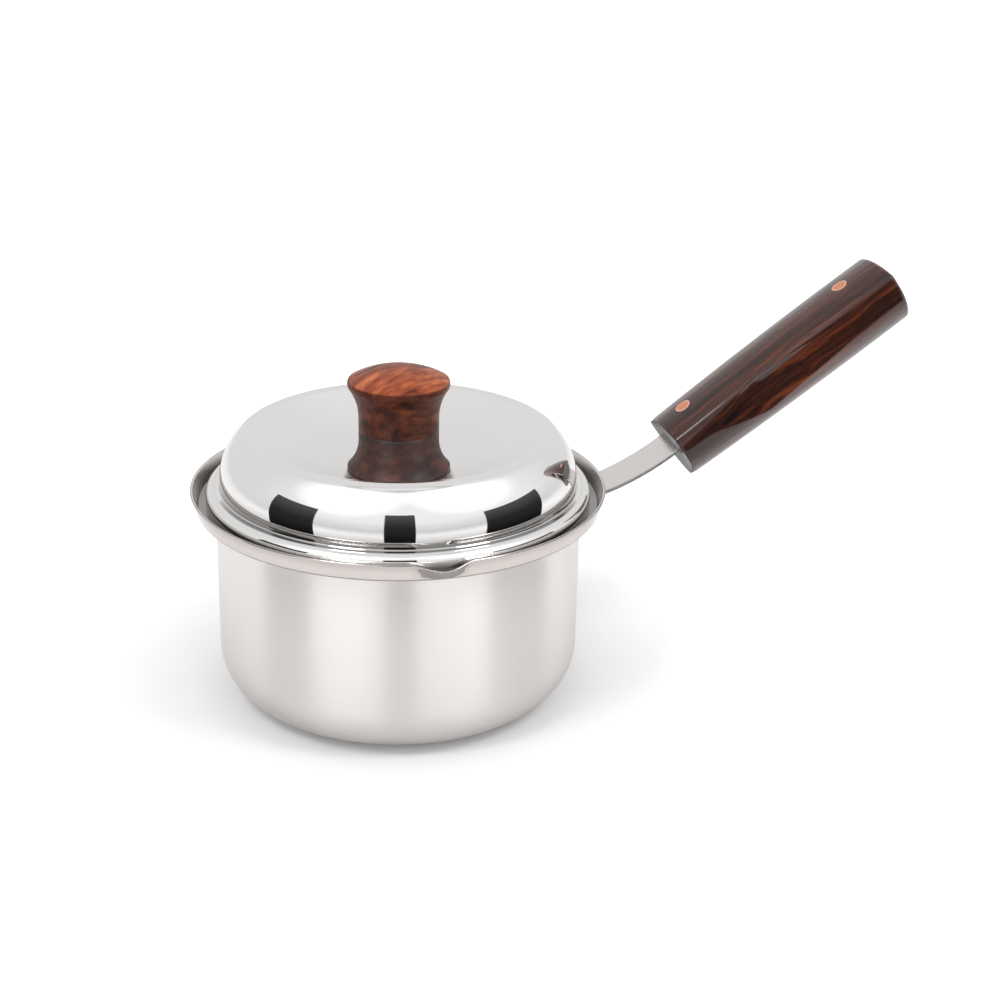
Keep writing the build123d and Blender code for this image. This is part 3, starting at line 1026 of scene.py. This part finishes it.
@dataclass
class Grip:
    """The carved rosewood grip: a crowned top, full sides and two thumb scallops."""

    near: float = 1.2
    length: float = 111.5
    crowns: Triple = (9.7, 10.6, 9.4)
    half_widths: Triple = (14.1, 14.5, 14.5)
    crease_widths: Triple = (13.6, 13.9, 13.9)
    crease_drops: Triple = (3.3, 3.7, 3.1)
    depths: Triple = (26.3, 29.3, 28.8)
    side_share: float = 0.41
    low_width_share: float = 0.82
    low_share: float = 0.68
    scallop_near: tuple[Point, Point, Point] = ((0.0, 14.45), (24.5, 13.75), (40.5, 11.2))
    scallop_far: tuple[Point, Point, Point] = ((40.5, 11.2), (68.5, 13.3), (111.5, 14.85))
    scallop_blend: float = 1.1
    scallop_hollow: float = 0.06
    scallop_brow: float = 8.0
    edge_round: float = 0.30
    crease_round: float = 0.85
    near_round: float = 0.7
    far_round: float = 2.4
    far_run: float = 0.8
    far_turn: float = 84.0
    far_dome: float = 1.4
    core: float = 13.0
    crown_points: int = 60
    side_points: int = 121
    fine_points: int = 401
    skin_passes: int = 3
    around: int = 288
    face_rings: int = 9
    near_steps: int = 6
    rings: int = 250
    far_steps: int = 10
    dome_steps: int = 15
    finish: Rosewood = Rosewood(
        "grip_rosewood",
        dark=(0.008, 0.004, 0.0035),
        middle=(0.048, 0.013, 0.007),
        light=(0.19, 0.042, 0.015),
        turn=(0.0, TILT, 0.0),
        streak=(22.0, 640.0, 640.0),
        figure=(11.0, 190.0, 190.0),
        spread=(0.38, 0.66),
        coat=1.0,
        coat_roughness=0.03,
        specular=0.12,
    )

    def between(self, values: Triple, along: float) -> float:
        """Draws a size smoothly through its values at the near end, the middle and the far end.

        Args:
            values: the three values.
            along: a place along the grip.

        Returns:
            The size there.
        """
        a, b, c = self.near, self.length / 2, self.length
        la = (along - b) * (along - c) / ((a - b) * (a - c))
        lb = (along - a) * (along - c) / ((b - a) * (b - c))
        lc = (along - a) * (along - b) / ((c - a) * (c - b))
        return values[0] * la + values[1] * lb + values[2] * lc

    def waist(self, along: float) -> float:
        """Finds half the width that the scallops leave.

        Args:
            along: a place along the grip.

        Returns:
            That half width.
        """
        widths = []
        for arc in (self.scallop_near, self.scallop_far):
            cx, cy = circle_centre(*arc)
            radius = math.dist((cx, cy), arc[0])
            root = math.sqrt(max(0.0, radius**2 - (along - cx) ** 2))
            widths.append(cy + root if cy < arc[1][1] else cy - root)
        # The wider of the two, rounded where they meet
        a, b = widths
        h = max(0.0, min(1.0, 0.5 + 0.5 * (a - b) / self.scallop_blend))
        return b + (a - b) * h + self.scallop_blend * h * (1 - h)

    def crown_at(self, along: float, across: float) -> float:
        """Finds the height of the crowned top over the tang's middle.

        Args:
            along: a place along the grip.
            across: the place across it.

        Returns:
            The height.
        """
        half = self.between(self.crease_widths, along)
        drop = self.between(self.crease_drops, along)
        radius = (half**2 + drop**2) / (2 * drop)
        return self.between(self.crowns, along) - radius + math.sqrt(radius**2 - across**2)

    def section(self, along: float) -> np.ndarray:
        """Draws one cross-section of the grip.

        Args:
            along: its place along the grip.

        Returns:
            Points across and up, from the crown round one side to the underside.
        """
        crown = self.between(self.crowns, along)
        half = self.between(self.half_widths, along)
        crease = self.between(self.crease_widths, along)
        drop = self.between(self.crease_drops, along)
        depth = self.between(self.depths, along)
        top = [(x, self.crown_at(along, x)) for x in np.linspace(0.0, crease, self.crown_points)]
        right = [
            (crease, -drop),
            (half, -depth * self.side_share),
            (half * self.low_width_share, -depth * self.low_share),
        ]
        left = [(-x, z) for x, z in right[::-1]]
        whole = smooth_curve(np.array([*right, (0.0, -depth), *left]), 2 * self.side_points - 1)
        side = whole[1 : self.side_points] + (0.0, crown)
        points = spaced(np.vstack([np.array(top), side]), self.fine_points)
        # The crease is rounded first, and the scallop is then cut where the side is too wide
        step = float(np.linalg.norm(points[1] - points[0]))
        points = soften(points, round(2 * (self.crease_round / step) ** 2))
        brow = np.maximum(0.0, self.scallop_brow - (crown - points[:, 1]))
        limit = self.waist(along) + self.scallop_hollow * brow**2
        k, x = self.edge_round, points[:, 0]
        h = np.clip(0.5 + 0.5 * (limit - x) / k, 0.0, 1.0)
        points[:, 0] = np.maximum(limit + (x - limit) * h - k * h * (1 - h), 0.0)
        points[[0, -1], 0] = 0.0
        return spaced(soften(points, self.skin_passes), self.around // 2 + 1)

    def ring(self, along: float, inset: float, place: float) -> list[Vector]:
        """Makes one ring of the grip's skin.

        Args:
            along: where its cross-section is taken.
            inset: how far it is moved in.
            place: where it stands along the grip.

        Returns:
            Its points, in millimetres.
        """
        half = self.section(along)
        whole = np.vstack([half, half[-2:0:-1] * (-1.0, 1.0)])
        middle = (0.0, self.between(self.crowns, along) - self.between(self.depths, along) / 2)
        arms = whole - middle
        lengths = np.linalg.norm(arms, axis=1)[:, None]
        whole = middle + arms * np.maximum(0.0, 1 - inset / lengths)
        base = GRIP_START + ALONG * place
        return [base + ACROSS * float(y) + NORMAL * float(n) for y, n in whole]

    def near_end(self) -> list[list[Vector]]:
        """Makes the near face and its rounded edge.

        Returns:
            Their rings.
        """
        rings = []
        for i in range(self.face_rings):
            inset = self.core * (1 - i / self.face_rings)
            rings.append(self.ring(self.near, inset + self.near_round, self.near))
        for i in range(self.near_steps + 1):
            a = math.radians(90 * i / self.near_steps)
            place = self.near + self.near_round * (1 - math.cos(a))
            rings.append(self.ring(place, self.near_round * (1 - math.sin(a)), place))
        return rings

    def far_end(self, last: float) -> list[list[Vector]]:
        """Makes the rounded far edge and the domed end.

        Args:
            last: where the edge starts.

        Returns:
            Their rings.
        """
        rings = []
        run = self.far_round * self.far_run
        for i in range(self.far_steps + 1):
            a = math.radians(self.far_turn * i / self.far_steps)
            place = last + run * math.sin(a)
            edge = self.far_round * (1 - math.cos(a))
            rings.append(self.ring(place, edge, place))
        for i in range(1, self.dome_steps):
            share = i / self.dome_steps
            place = last + run + self.far_dome * (1 - (1 - share) ** 2)
            inset = edge + (self.core - edge) * share
            rings.append(self.ring(self.length, inset, min(place, self.length)))
        return rings

    def build(self, shop: Workshop) -> None:
        """Builds the grip.

        Args:
            shop: the workshop.
        """
        first = self.near + self.near_round
        last = self.length - self.far_dome - self.far_round * self.far_run
        places = [first + (last - first) * i / self.rings for i in range(1, self.rings)]
        middle = [self.ring(place, 0.0, place) for place in places]
        piece = shop.tubes("grip", [self.near_end() + middle + self.far_end(last)])
        shop.smooth(piece, degrees=60)
        shop.deliver(piece, Body.PAN, "grip_wood", self.finish.build(), "handle_grip")


def smooth_curve(knots: np.ndarray, count: int) -> np.ndarray:
    """Draws the natural cubic curve through points, by their distances.

    Args:
        knots: the points to pass through.
        count: how many points to return.

    Returns:
        The curve's points.
    """
    t = np.concatenate([[0], np.cumsum(np.linalg.norm(np.diff(knots, axis=0), axis=1))])
    n = len(t)
    h = np.diff(t)
    system = np.zeros((n, n))
    right = np.zeros((n, knots.shape[1]))
    system[0, 0] = system[-1, -1] = 1.0
    for i in range(1, n - 1):
        system[i, i - 1 : i + 2] = h[i - 1], 2 * (h[i - 1] + h[i]), h[i]
        right[i] = 6 * ((knots[i + 1] - knots[i]) / h[i] - (knots[i] - knots[i - 1]) / h[i - 1])
    second = np.linalg.solve(system, right)
    want = np.linspace(0, t[-1], count)
    i = np.clip(np.searchsorted(t, want, side="right") - 1, 0, n - 2)
    a = (t[i + 1] - want)[:, None]
    b = (want - t[i])[:, None]
    w = h[i][:, None]
    return (
        second[i] * a**3 / (6 * w)
        + second[i + 1] * b**3 / (6 * w)
        + (knots[i] / w - second[i] * w / 6) * a
        + (knots[i + 1] / w - second[i + 1] * w / 6) * b
    )


def spaced(points: np.ndarray, count: int) -> np.ndarray:
    """Spreads points evenly along the run that they make.

    Args:
        points: the run.
        count: how many points to return.

    Returns:
        The even points, with the run's two ends.
    """
    run = np.concatenate([[0], np.cumsum(np.linalg.norm(np.diff(points, axis=0), axis=1))])
    want = np.linspace(0, run[-1], count)
    return np.column_stack([np.interp(want, run, points[:, i]) for i in (0, 1)])


def soften(points: np.ndarray, passes: int) -> np.ndarray:
    """Rounds the corners of a run of points, its two ends kept.

    Args:
        points: the run.
        passes: how often it is rounded.

    Returns:
        The rounded run.
    """
    for _ in range(passes):
        inner = (points[:-2] + 2 * points[1:-1] + points[2:]) / 4
        points = np.vstack([points[:1], inner, points[-1:]])
    return points


@dataclass
class Rivets:
    """The two copper pins, ground flush with the crown and the underside of the grip."""

    radius: float = 3.25
    places: Point = (13.0, 92.5)
    names: tuple[str, str] = ("front_rivet", "rear_rivet")
    shares: tuple[float, ...] = (0.0, 0.25, 0.5, 0.75, 0.93, 1.0)
    around: int = 48
    proud: float = 0.05
    edge_proud: float = 0.01
    colour: Triple = (0.92, 0.38, 0.22)
    rim: Triple = (0.95, 0.62, 0.47)
    grip: Grip = field(default_factory=Grip)

    def build(self, shop: Workshop) -> None:
        """Builds both pins.

        Args:
            shop: the workshop.
        """
        centres = tuple(tuple((GRIP_START + ALONG * at) * MM) for at in self.places)
        finish = GroundMetal("rivet_copper", self.colour, self.rim, centres).build()
        for name, at in zip(self.names, self.places):
            rings = [self.ring(at, -1, share) for share in self.shares]
            rings += [self.ring(at, 1, share) for share in self.shares[::-1]]
            piece = shop.tubes(name + "_pin", [rings], merge=True)
            shop.smooth(piece, degrees=40)
            shop.deliver(piece, Body.PAN, "copper", finish, name)

    def ring(self, at: float, end: int, share: float) -> list[Vector]:
        """Makes one ring of a pin's end face.

        Args:
            at: the pin's place along the grip.
            end: 1 for the crown, -1 for the underside.
            share: the ring's radius as a share of the pin's.

        Returns:
            Its points, in millimetres.
        """
        proud = self.proud if share < 1 else self.edge_proud
        ring = []
        for i in range(self.around):
            angle = math.tau * i / self.around
            along = at + self.radius * share * math.cos(angle)
            across = self.radius * share * math.sin(angle)
            if end > 0:
                height = self.grip.crown_at(along, across) + proud
            else:
                half = self.grip.section(along)
                low = half[len(half) // 2 :]
                order = np.argsort(low[:, 0])
                height = float(np.interp(abs(across), low[order, 0], low[order, 1])) - proud
            ring.append(GRIP_START + ALONG * along + ACROSS * across + NORMAL * height)
        return ring


# The lid


@dataclass
class LidShell:
    """The pressed lid: skirt, rolled bead, groove, high shoulder and sunk centre."""

    wall: float = 0.8
    skirt_radius: float = 74.7
    skirt_base: float = 78.9
    flange: float = 86.0
    flange_radius: float = 71.0
    bead_fall: float = 0.25
    bead_drop: float = 3.0
    groove: float = 0.5
    side_radius: float = 69.3
    side_base: float = 88.0
    ridge_radius: float = 57.5
    ridge: float = 107.2
    crown: float = 6.018
    dish_angle: float = 30.0
    seat: float = 91.2
    seat_radius: float = 20.5
    hole: float = 2.7
    steps: int = 360
    finish: TurnedSteel = TurnedSteel(
        "lid_mirror_steel_painted_shade",
        colour=(0.92, 0.91, 0.90),
        roughness=0.035,
        vary=0.008,
        fine=700.0,
        bump=0.0008,
        anisotropic=0.0,
        dull_share=0.985,
        satin_inside=0.0590,
        satin_roughness=0.30,
        # Painted shade: the skirt is darkened in the gap, and the side's foot where it mirrors the
        # floor
        painted_shade_heights=(0.0812, 0.0838),
        shade=0.36,
        foot_radius=0.0650,
        foot_heights=(0.0866, 0.0925),
        foot_painted_shade=0.26,
    )

    def outline(self) -> Outline:
        """Draws the lid's top surface, from the foot of the skirt to the hole for the screw.

        Returns:
            The profile.
        """
        bead_middle = ((self.flange_radius + self.skirt_radius) / 2, self.flange - self.bead_fall)
        groove_middle = (self.side_radius + self.groove, self.flange + self.groove)
        shape = Outline((self.skirt_radius, self.skirt_base))
        shape.line((self.skirt_radius, self.flange - self.bead_drop), 5)
        shape.bow(bead_middle, (self.flange_radius, self.flange), 16)
        shape.line((groove_middle[0], self.flange), 2)
        shape.arc(groove_middle, self.groove, -90, -180, 6)
        shape.line((self.side_radius, self.side_base), 2)
        # The side bends in until it runs into the crown's arc without a corner
        width, rise = self.side_radius - self.ridge_radius, self.ridge - self.side_base
        bend = (width**2 + rise**2 - 2 * self.crown * rise) / (2 * (width - self.crown))
        low = (self.side_radius - bend, self.side_base)
        high = (self.ridge_radius, self.ridge - self.crown)
        lean = math.degrees(math.atan2(high[1] - low[1], high[0] - low[0]))
        shape.arc(low, bend, 0, lean, 26)
        shape.arc(high, self.crown, lean, 90 + self.dish_angle, 26)
        # The dish leaves the crown along its slope and ends at the seat
        dip = math.radians(self.dish_angle)
        side = Vector((math.sin(dip), -math.cos(dip)))
        start = Vector(shape.points[-1])
        chord = Vector((self.seat_radius, self.seat)) - start
        centre = start + side * chord.length_squared / (2 * chord.dot(side))
        shape.about(tuple(centre), (self.seat_radius, self.seat), 40)
        shape.line((self.hole, self.seat), 6)
        shape.points = self.ease(shape.points)
        return shape

    def ease(self, points: list[Point]) -> list[Point]:
        """Rounds the corner where the dish meets the seat.

        Args:
            points: the profile's points.

        Returns:
            The points with that corner rounded.
        """
        run = np.array(points)
        near = min(range(len(points)), key=lambda i: abs(points[i][0] - self.seat_radius))
        for _ in range(2):
            for i in (near - 1, near, near + 1):
                run[i] = (run[i - 1] + 2 * run[i] + run[i + 1]) / 4
        return [tuple(p) for p in run]

    def build(self, shop: Workshop) -> None:
        """Builds the lid.

        Args:
            shop: the workshop.
        """
        piece = shop.turn("lid", self.outline(), self.steps, closed=False)
        if sum(face.normal.z * face.area for face in piece.data.polygons) < 0:
            piece.data.flip_normals()
        shop.thicken(piece, self.wall)
        shop.smooth(piece, degrees=50)
        shop.deliver(piece, Body.LID, "lid_steel", self.finish.build(), "lid_shell")


@dataclass
class Knob:
    """The turned knob: two pieces of rosewood with a thin steel ring in their joint."""

    base: float = 91.2
    height: float = 41.0
    foot_radius: float = 19.9
    foot_base: float = 18.4
    foot_rise: float = 1.3
    foot_via: Point = (1.15, 0.42)
    waist: float = 15.55
    waist_low: float = 12.0
    waist_high: float = 21.0
    flare_radius: float = 19.4
    flare_rise: float = 33.3
    head_radius: float = 19.75
    head_rise: float = 34.9
    crease_radius: float = 19.40
    crease_rise: float = 36.0
    joint: float = 15.6
    ring: float = 0.6
    hole: float = 2.7
    bore: float = 4.55
    bore_depth: float = 13.1
    edge: float = 0.18
    steps: int = 256
    lower_finish: Rosewood = Rosewood(
        "knob_rosewood_lower",
        dark=(0.014, 0.006, 0.005),
        middle=(0.046, 0.014, 0.010),
        light=(0.115, 0.030, 0.016),
        turn=(0.0, 0.0, math.radians(-25)),
        streak=(60.0, 330.0, 330.0),
        figure=(34.0, 110.0, 110.0),
        warp=0.012,
        coat=0.12,
        coat_roughness=0.25,
        specular=0.3,
        roughness=0.5,
    )
    upper_finish: Rosewood = replace(
        lower_finish,
        name="knob_rosewood_upper_painted_shade",
        dark=(0.040, 0.010, 0.005),
        middle=(0.30, 0.065, 0.024),
        light=(0.66, 0.19, 0.068),
        coat=0.2,
        coat_roughness=0.16,
        specular=0.12,
        roughness=0.42,
        # Painted shade: below the dome the sides are darkened to 0.30 of the colour
        crown_height=0.1272,
        side_share=0.30,
    )

    def flare(self, start: Point, end: Point, steps: int) -> list[Point]:
        """Draws the arc that leaves the waist upright and ends at a flare.

        Args:
            start: where it leaves the waist.
            end: where it ends.
            steps: how many runs it is divided into.

        Returns:
            Its points.
        """
        dx, dz = end[0] - start[0], end[1] - start[1]
        radius = (dx**2 + dz**2) / (2 * dx)
        full = math.copysign(math.asin(abs(dz) / radius), dz)
        turns = [full * i / steps for i in range(steps + 1)]
        return [(start[0] + radius * (1 - math.cos(a)), start[1] + radius * math.sin(a)) for a in turns]

    def lower(self) -> Outline:
        """Draws the lower piece's closed profile.

        Returns:
            The profile.
        """
        b, e = self.base, self.edge
        foot = (self.foot_radius, b + self.foot_rise)
        shape = Outline((self.hole, b)).line((self.foot_base, b), 4)
        shape.bow((self.foot_base + self.foot_via[0], b + self.foot_via[1]), foot, 8)
        shape.points.extend(self.flare((self.waist, b + self.waist_low), foot, 22)[::-1][1:])
        shape.line((self.waist, b + self.joint - e), 3)
        shape.arc((self.waist - e, b + self.joint - e), e, 0, 90, 4)
        return shape.line((self.hole, b + self.joint), 3)

    def upper(self) -> Outline:
        """Draws the upper piece's profile, from the end of its bore to the top of its dome.

        Returns:
            The profile.
        """
        b, e = self.base, self.edge
        foot = b + self.joint + self.ring
        waist = (self.waist, b + self.waist_high)
        crease = (self.crease_radius, b + self.crease_rise)
        shape = Outline((0.0, foot + self.bore_depth)).line((self.bore, foot + self.bore_depth), 2)
        shape.line((self.bore, foot), 3).line((self.waist - e, foot), 3)
        shape.arc((self.waist - e, foot + e), e, -90, 0, 4)
        shape.line(waist, 3)
        shape.points.extend(self.flare(waist, (self.flare_radius, b + self.flare_rise), 24)[1:])
        shape.bow((self.head_radius, b + self.head_rise), crease, 12)
        rise = self.height - self.crease_rise
        radius = (self.crease_radius**2 + rise**2) / (2 * rise)
        first = math.degrees(math.acos(self.crease_radius / radius))
        shape.arc((0.0, b + self.height - radius), radius, first, 90, 20)
        shape.points[-1] = (0.0, b + self.height)
        return shape

    def build(self, shop: Workshop) -> None:
        """Builds both wooden pieces.

        Args:
            shop: the workshop.
        """
        lower = shop.turn("knob_foot", self.lower(), self.steps)
        shop.smooth(lower, degrees=50)
        shop.deliver(lower, Body.LID, "knob_wood", self.lower_finish.build(), "knob_lower")
        upper = shop.turn("knob_head", self.upper(), self.steps, closed=False)
        shop.smooth(upper, degrees=24)
        shop.deliver(upper, Body.LID, "knob_wood", self.upper_finish.build(), "knob_upper")


# The studio


@dataclass
class Card:
    """A dark card that only reflections see, palest along its top."""

    name: str
    azimuths: Point
    heights: Point
    places: Triple = (0.0, 0.55, 1.0)
    levels: Triple = (0.008, 0.022, 0.085)
    radius: float = 300.0
    steps: int = 12

    def build(self, shop: Workshop) -> None:
        """Stands the card round the pan.

        Args:
            shop: the workshop.
        """
        form = bmesh.new()
        first, last = self.azimuths
        columns = []
        for i in range(self.steps + 1):
            a = math.radians(first + (last - first) * i / self.steps)
            foot = Vector((math.sin(a), -math.cos(a), 0.0)) * self.radius
            columns.append([form.verts.new((foot.x * MM, foot.y * MM, z * MM)) for z in self.heights])
        for a, b in zip(columns, columns[1:]):
            form.faces.new((a[0], b[0], b[1], a[1]))
        piece = shop.cast(self.name, form)
        piece.data.materials.append(self.glow())
        piece.visible_camera = False
        piece.visible_diffuse = False
        piece.visible_shadow = False
        piece.visible_transmission = False

    def glow(self) -> bpy.types.Material:
        """Makes the card's material.

        Returns:
            The material.
        """
        sheet = FinishSheet(self.name + "_card")
        run = tuple(height * MM for height in self.heights)
        share = sheet.range(sheet.axis(sheet.place(), "Z"), run, (0.0, 1.0))
        level = sheet.ramp(self.places, self.levels, share)
        sheet.feed(sheet.add("Emission", 0, {"Color": level, "Strength": 1.0}), sheet.output, "Surface")
        return sheet.material


@dataclass
class Studio:
    """The white floor, the soft light, the cards and the camera."""

    camera_place: Triple = (-0.158026, -0.658226, 0.348943)
    camera_turn: Triple = (68.18688, -1.10948, -16.40703)
    lens: float = 66.957
    sensor: float = 36.0
    clip: Point = (0.01, 50.0)
    aim: Triple = (0.05, 0.0, 0.08)
    world_level: float = 0.80
    floor_size: float = 12.0
    floor_colour: float = 0.80
    floor_glow: Triple = (0.10, 0.46, 0.62)
    glow_reach: Triple = (0.072, 0.17, 0.60)
    # Painted shade seen only in metal: the floor's colour near the pan, and behind it
    mirrored_floor_painted_shade: Triple = (0.60, 0.86, 0.95)
    mirrored_reach: Triple = (0.07, 0.13, 0.21)
    behind_painted_shade: float = 0.97
    behind_run: Point = (0.0, 0.12)
    lamp_away: float = 1.3
    lamp_size: float = 0.41
    lamp_power: float = 4.2
    lamps: tuple[Point, Point] = ((-57.0, 51.0), (43.0, 51.0))
    tent_heights: tuple[float, ...] = (0.0, 0.139, 0.276, 0.454, 0.90, 0.94, 0.951, 0.968, 0.98, 1.0)
    tent_front: tuple[float, ...] = (0.67, 0.79, 0.92, 0.94, 0.94, 0.86, 0.42, 0.42, 0.85, 0.85)
    tent_back: float = 0.76
    back_run: Point = (-0.30, 0.45)
    halo: float = 0.34
    halo_reach: Point = (0.82, 0.97)
    cards: tuple[Card, ...] = (
        Card("left_flag", (-91.0, -61.0), (-2.0, 205.0)),
        Card("middle_flag", (-21.5, -4.5), (-2.0, 232.0)),
        Card("right_flag", (35.5, 76.0), (-2.0, 176.0)),
    )

    @staticmethod
    def towards(azimuth: float, elevation: float) -> Vector:
        """The direction of an azimuth, from -Y towards +X, and an elevation, in degrees."""
        a, e = math.radians(azimuth), math.radians(elevation)
        return Vector((math.sin(a) * math.cos(e), -math.cos(a) * math.cos(e), math.sin(e)))

    def lamp(self, name: str, azimuth: float, elevation: float) -> None:
        """Hangs a round soft lamp.

        Args:
            name: the lamp's name.
            azimuth: its direction round the pan, from -Y towards +X, in degrees.
            elevation: its height above the horizon, in degrees.
        """
        away = self.towards(azimuth, elevation) * self.lamp_away
        data = bpy.data.lights.new(name, "AREA")
        data.shape = "DISK"
        data.size = self.lamp_size
        data.energy = self.lamp_power
        lamp = bpy.data.objects.new(name, data)
        lamp.location = Vector(self.aim) + away
        lamp.rotation_euler = (-away).to_track_quat("-Z", "Y").to_euler()
        bpy.context.scene.collection.objects.link(lamp)

    def tent(self, sheet: NodeSheet) -> Pair:
        """The level of the white tent that polished metal mirrors.

        Args:
            sheet: the world's nodes.

        Returns:
            That level.
        """
        way = sheet.add("TexCoord", "Generated", {})
        front = sheet.ramp(self.tent_heights, self.tent_front, sheet.axis(way, "Z"))
        behind = sheet.range(sheet.axis(way, "Y"), self.back_run, (0.0, 1.0))
        total = sheet.level_mix(behind, front, self.tent_back)
        for azimuth, elevation in self.lamps:
            near = sheet.vector("DOT_PRODUCT", way, tuple(self.towards(azimuth, elevation)), "Value")
            halo = sheet.range(near, self.halo_reach, (0.0, self.halo), smooth=True)
            total = sheet.math("ADD", total, halo)
        return total

    def world(self) -> bpy.types.World:
        """Makes the world: white to the camera, a tent to metal and plain light to the rest.

        Returns:
            The world.
        """
        world = bpy.data.worlds.new("white_tent")
        world.use_nodes = True
        sheet = NodeSheet(world.node_tree)
        level = sheet.range(sheet.ray("Camera"), (0.0, 1.0), (self.world_level, 1.0))
        mirrored = sheet.level_mix(sheet.ray("Glossy"), level, self.tent(sheet))
        background = world.node_tree.nodes["Background"]
        background.inputs["Color"].default_value = (1.0, 1.0, 1.0, 1.0)
        sheet.feed(mirrored, background, "Strength")
        return world

    def floor(self) -> None:
        """Lays the floor, white to the camera, with painted shade that only metal mirrors: greyer near
        the pan and a little darker behind it.
        """
        bpy.ops.mesh.primitive_plane_add(size=self.floor_size, location=(0.0, 0.0, 0.0))
        floor = bpy.context.object
        floor.name = "studio_floor"
        sheet = FinishSheet("studio_floor_white")
        place = sheet.place()
        away = sheet.length(place)
        glow = sheet.ramp(self.glow_reach, self.floor_glow, away)
        # Painted shade: to glossy rays the floor is greyer near the pan and darker behind it
        grey = sheet.ramp(self.mirrored_reach, self.mirrored_floor_painted_shade, away)
        behind = sheet.range(sheet.axis(place, "Y"), self.behind_run, (1.0, self.behind_painted_shade))
        white = (self.floor_colour, self.floor_colour, self.floor_colour, 1.0)
        sheet.set(
            Base_Color=sheet.colour_mix(sheet.ray("Glossy"), white, sheet.scaled(grey, behind)),
            Roughness=0.9,
            Specular_IOR_Level=0.0,
            Emission_Color=(1.0, 1.0, 1.0, 1.0),
            Emission_Strength=sheet.math("MULTIPLY", glow, sheet.ray("Camera")),
        )
        floor.data.materials.append(sheet.material)

    def camera(self) -> bpy.types.Object:
        """Sets up the camera.

        Returns:
            The camera.
        """
        data = bpy.data.cameras.new("camera")
        data.lens = self.lens
        data.sensor_width = self.sensor
        data.clip_start, data.clip_end = self.clip
        camera = bpy.data.objects.new("camera", data)
        camera.location = self.camera_place
        camera.rotation_euler = tuple(math.radians(v) for v in self.camera_turn)
        bpy.context.scene.collection.objects.link(camera)
        return camera

    def build(self, shop: Workshop) -> None:
        """Sets up world, floor, lamps, cards and camera.

        Args:
            shop: the workshop.
        """
        scene = bpy.context.scene
        scene.view_settings.view_transform = "Standard"
        scene.world = self.world()
        self.floor()
        for name, (azimuth, elevation) in zip(("left_softbox", "right_softbox"), self.lamps):
            self.lamp(name, azimuth, elevation)
        for card in self.cards:
            card.build(shop)
        scene.camera = self.camera()


@dataclass
class Fittings:
    """The small steel and brass pieces, which keep their CAD shapes."""

    # Painted shade: the ring in the knob's joint is coloured near black to show as a dark line
    ring: TurnedSteel = TurnedSteel(
        "ring_steel_painted_shade",
        colour=(0.06, 0.057, 0.055),
        roughness=0.3,
        vary=0.04,
        anisotropic=0.0,
    )
    # Painted shade: the end plate's steel is coloured dark grey, with a low glancing tint
    plate: FlatSteel = FlatSteel(
        "plate_steel_painted_shade",
        colour=(0.32, 0.315, 0.31),
        roughness=0.25,
        turn=TILT,
        glancing=0.4,
    )
    fasteners: TurnedSteel = TurnedSteel(
        "fastener_steel",
        colour=(0.68, 0.67, 0.66),
        roughness=0.3,
        anisotropic=0.0,
    )
    insert: GroundMetal = GroundMetal("insert_brass", colour=(0.72, 0.55, 0.25))

    def build(self, shop: Workshop) -> None:
        """Dresses the end plate, the knob's ring and its hidden fasteners.

        Args:
            shop: the workshop.
        """
        shop.dress(self.plate.build(), "handle_end_plate")
        shop.dress(self.ring.build(), "knob_ring")
        shop.dress(self.fasteners.build(), "knob_screw", "knob_washer", "knob_lock_washer")
        shop.dress(self.insert.build(), "knob_insert")


def main() -> None:
    """Builds every piece in order, dresses the CAD nodes and sets up the studio."""
    logging.basicConfig(level=logging.INFO, format="%(name)s: %(message)s")
    shop = Workshop()
    for part in (PanBody(), Tang(), Grip(), Rivets(), LidShell(), Knob(), Fittings(), Studio()):
        part.build(shop)


if __name__ == "__main__":
    main()
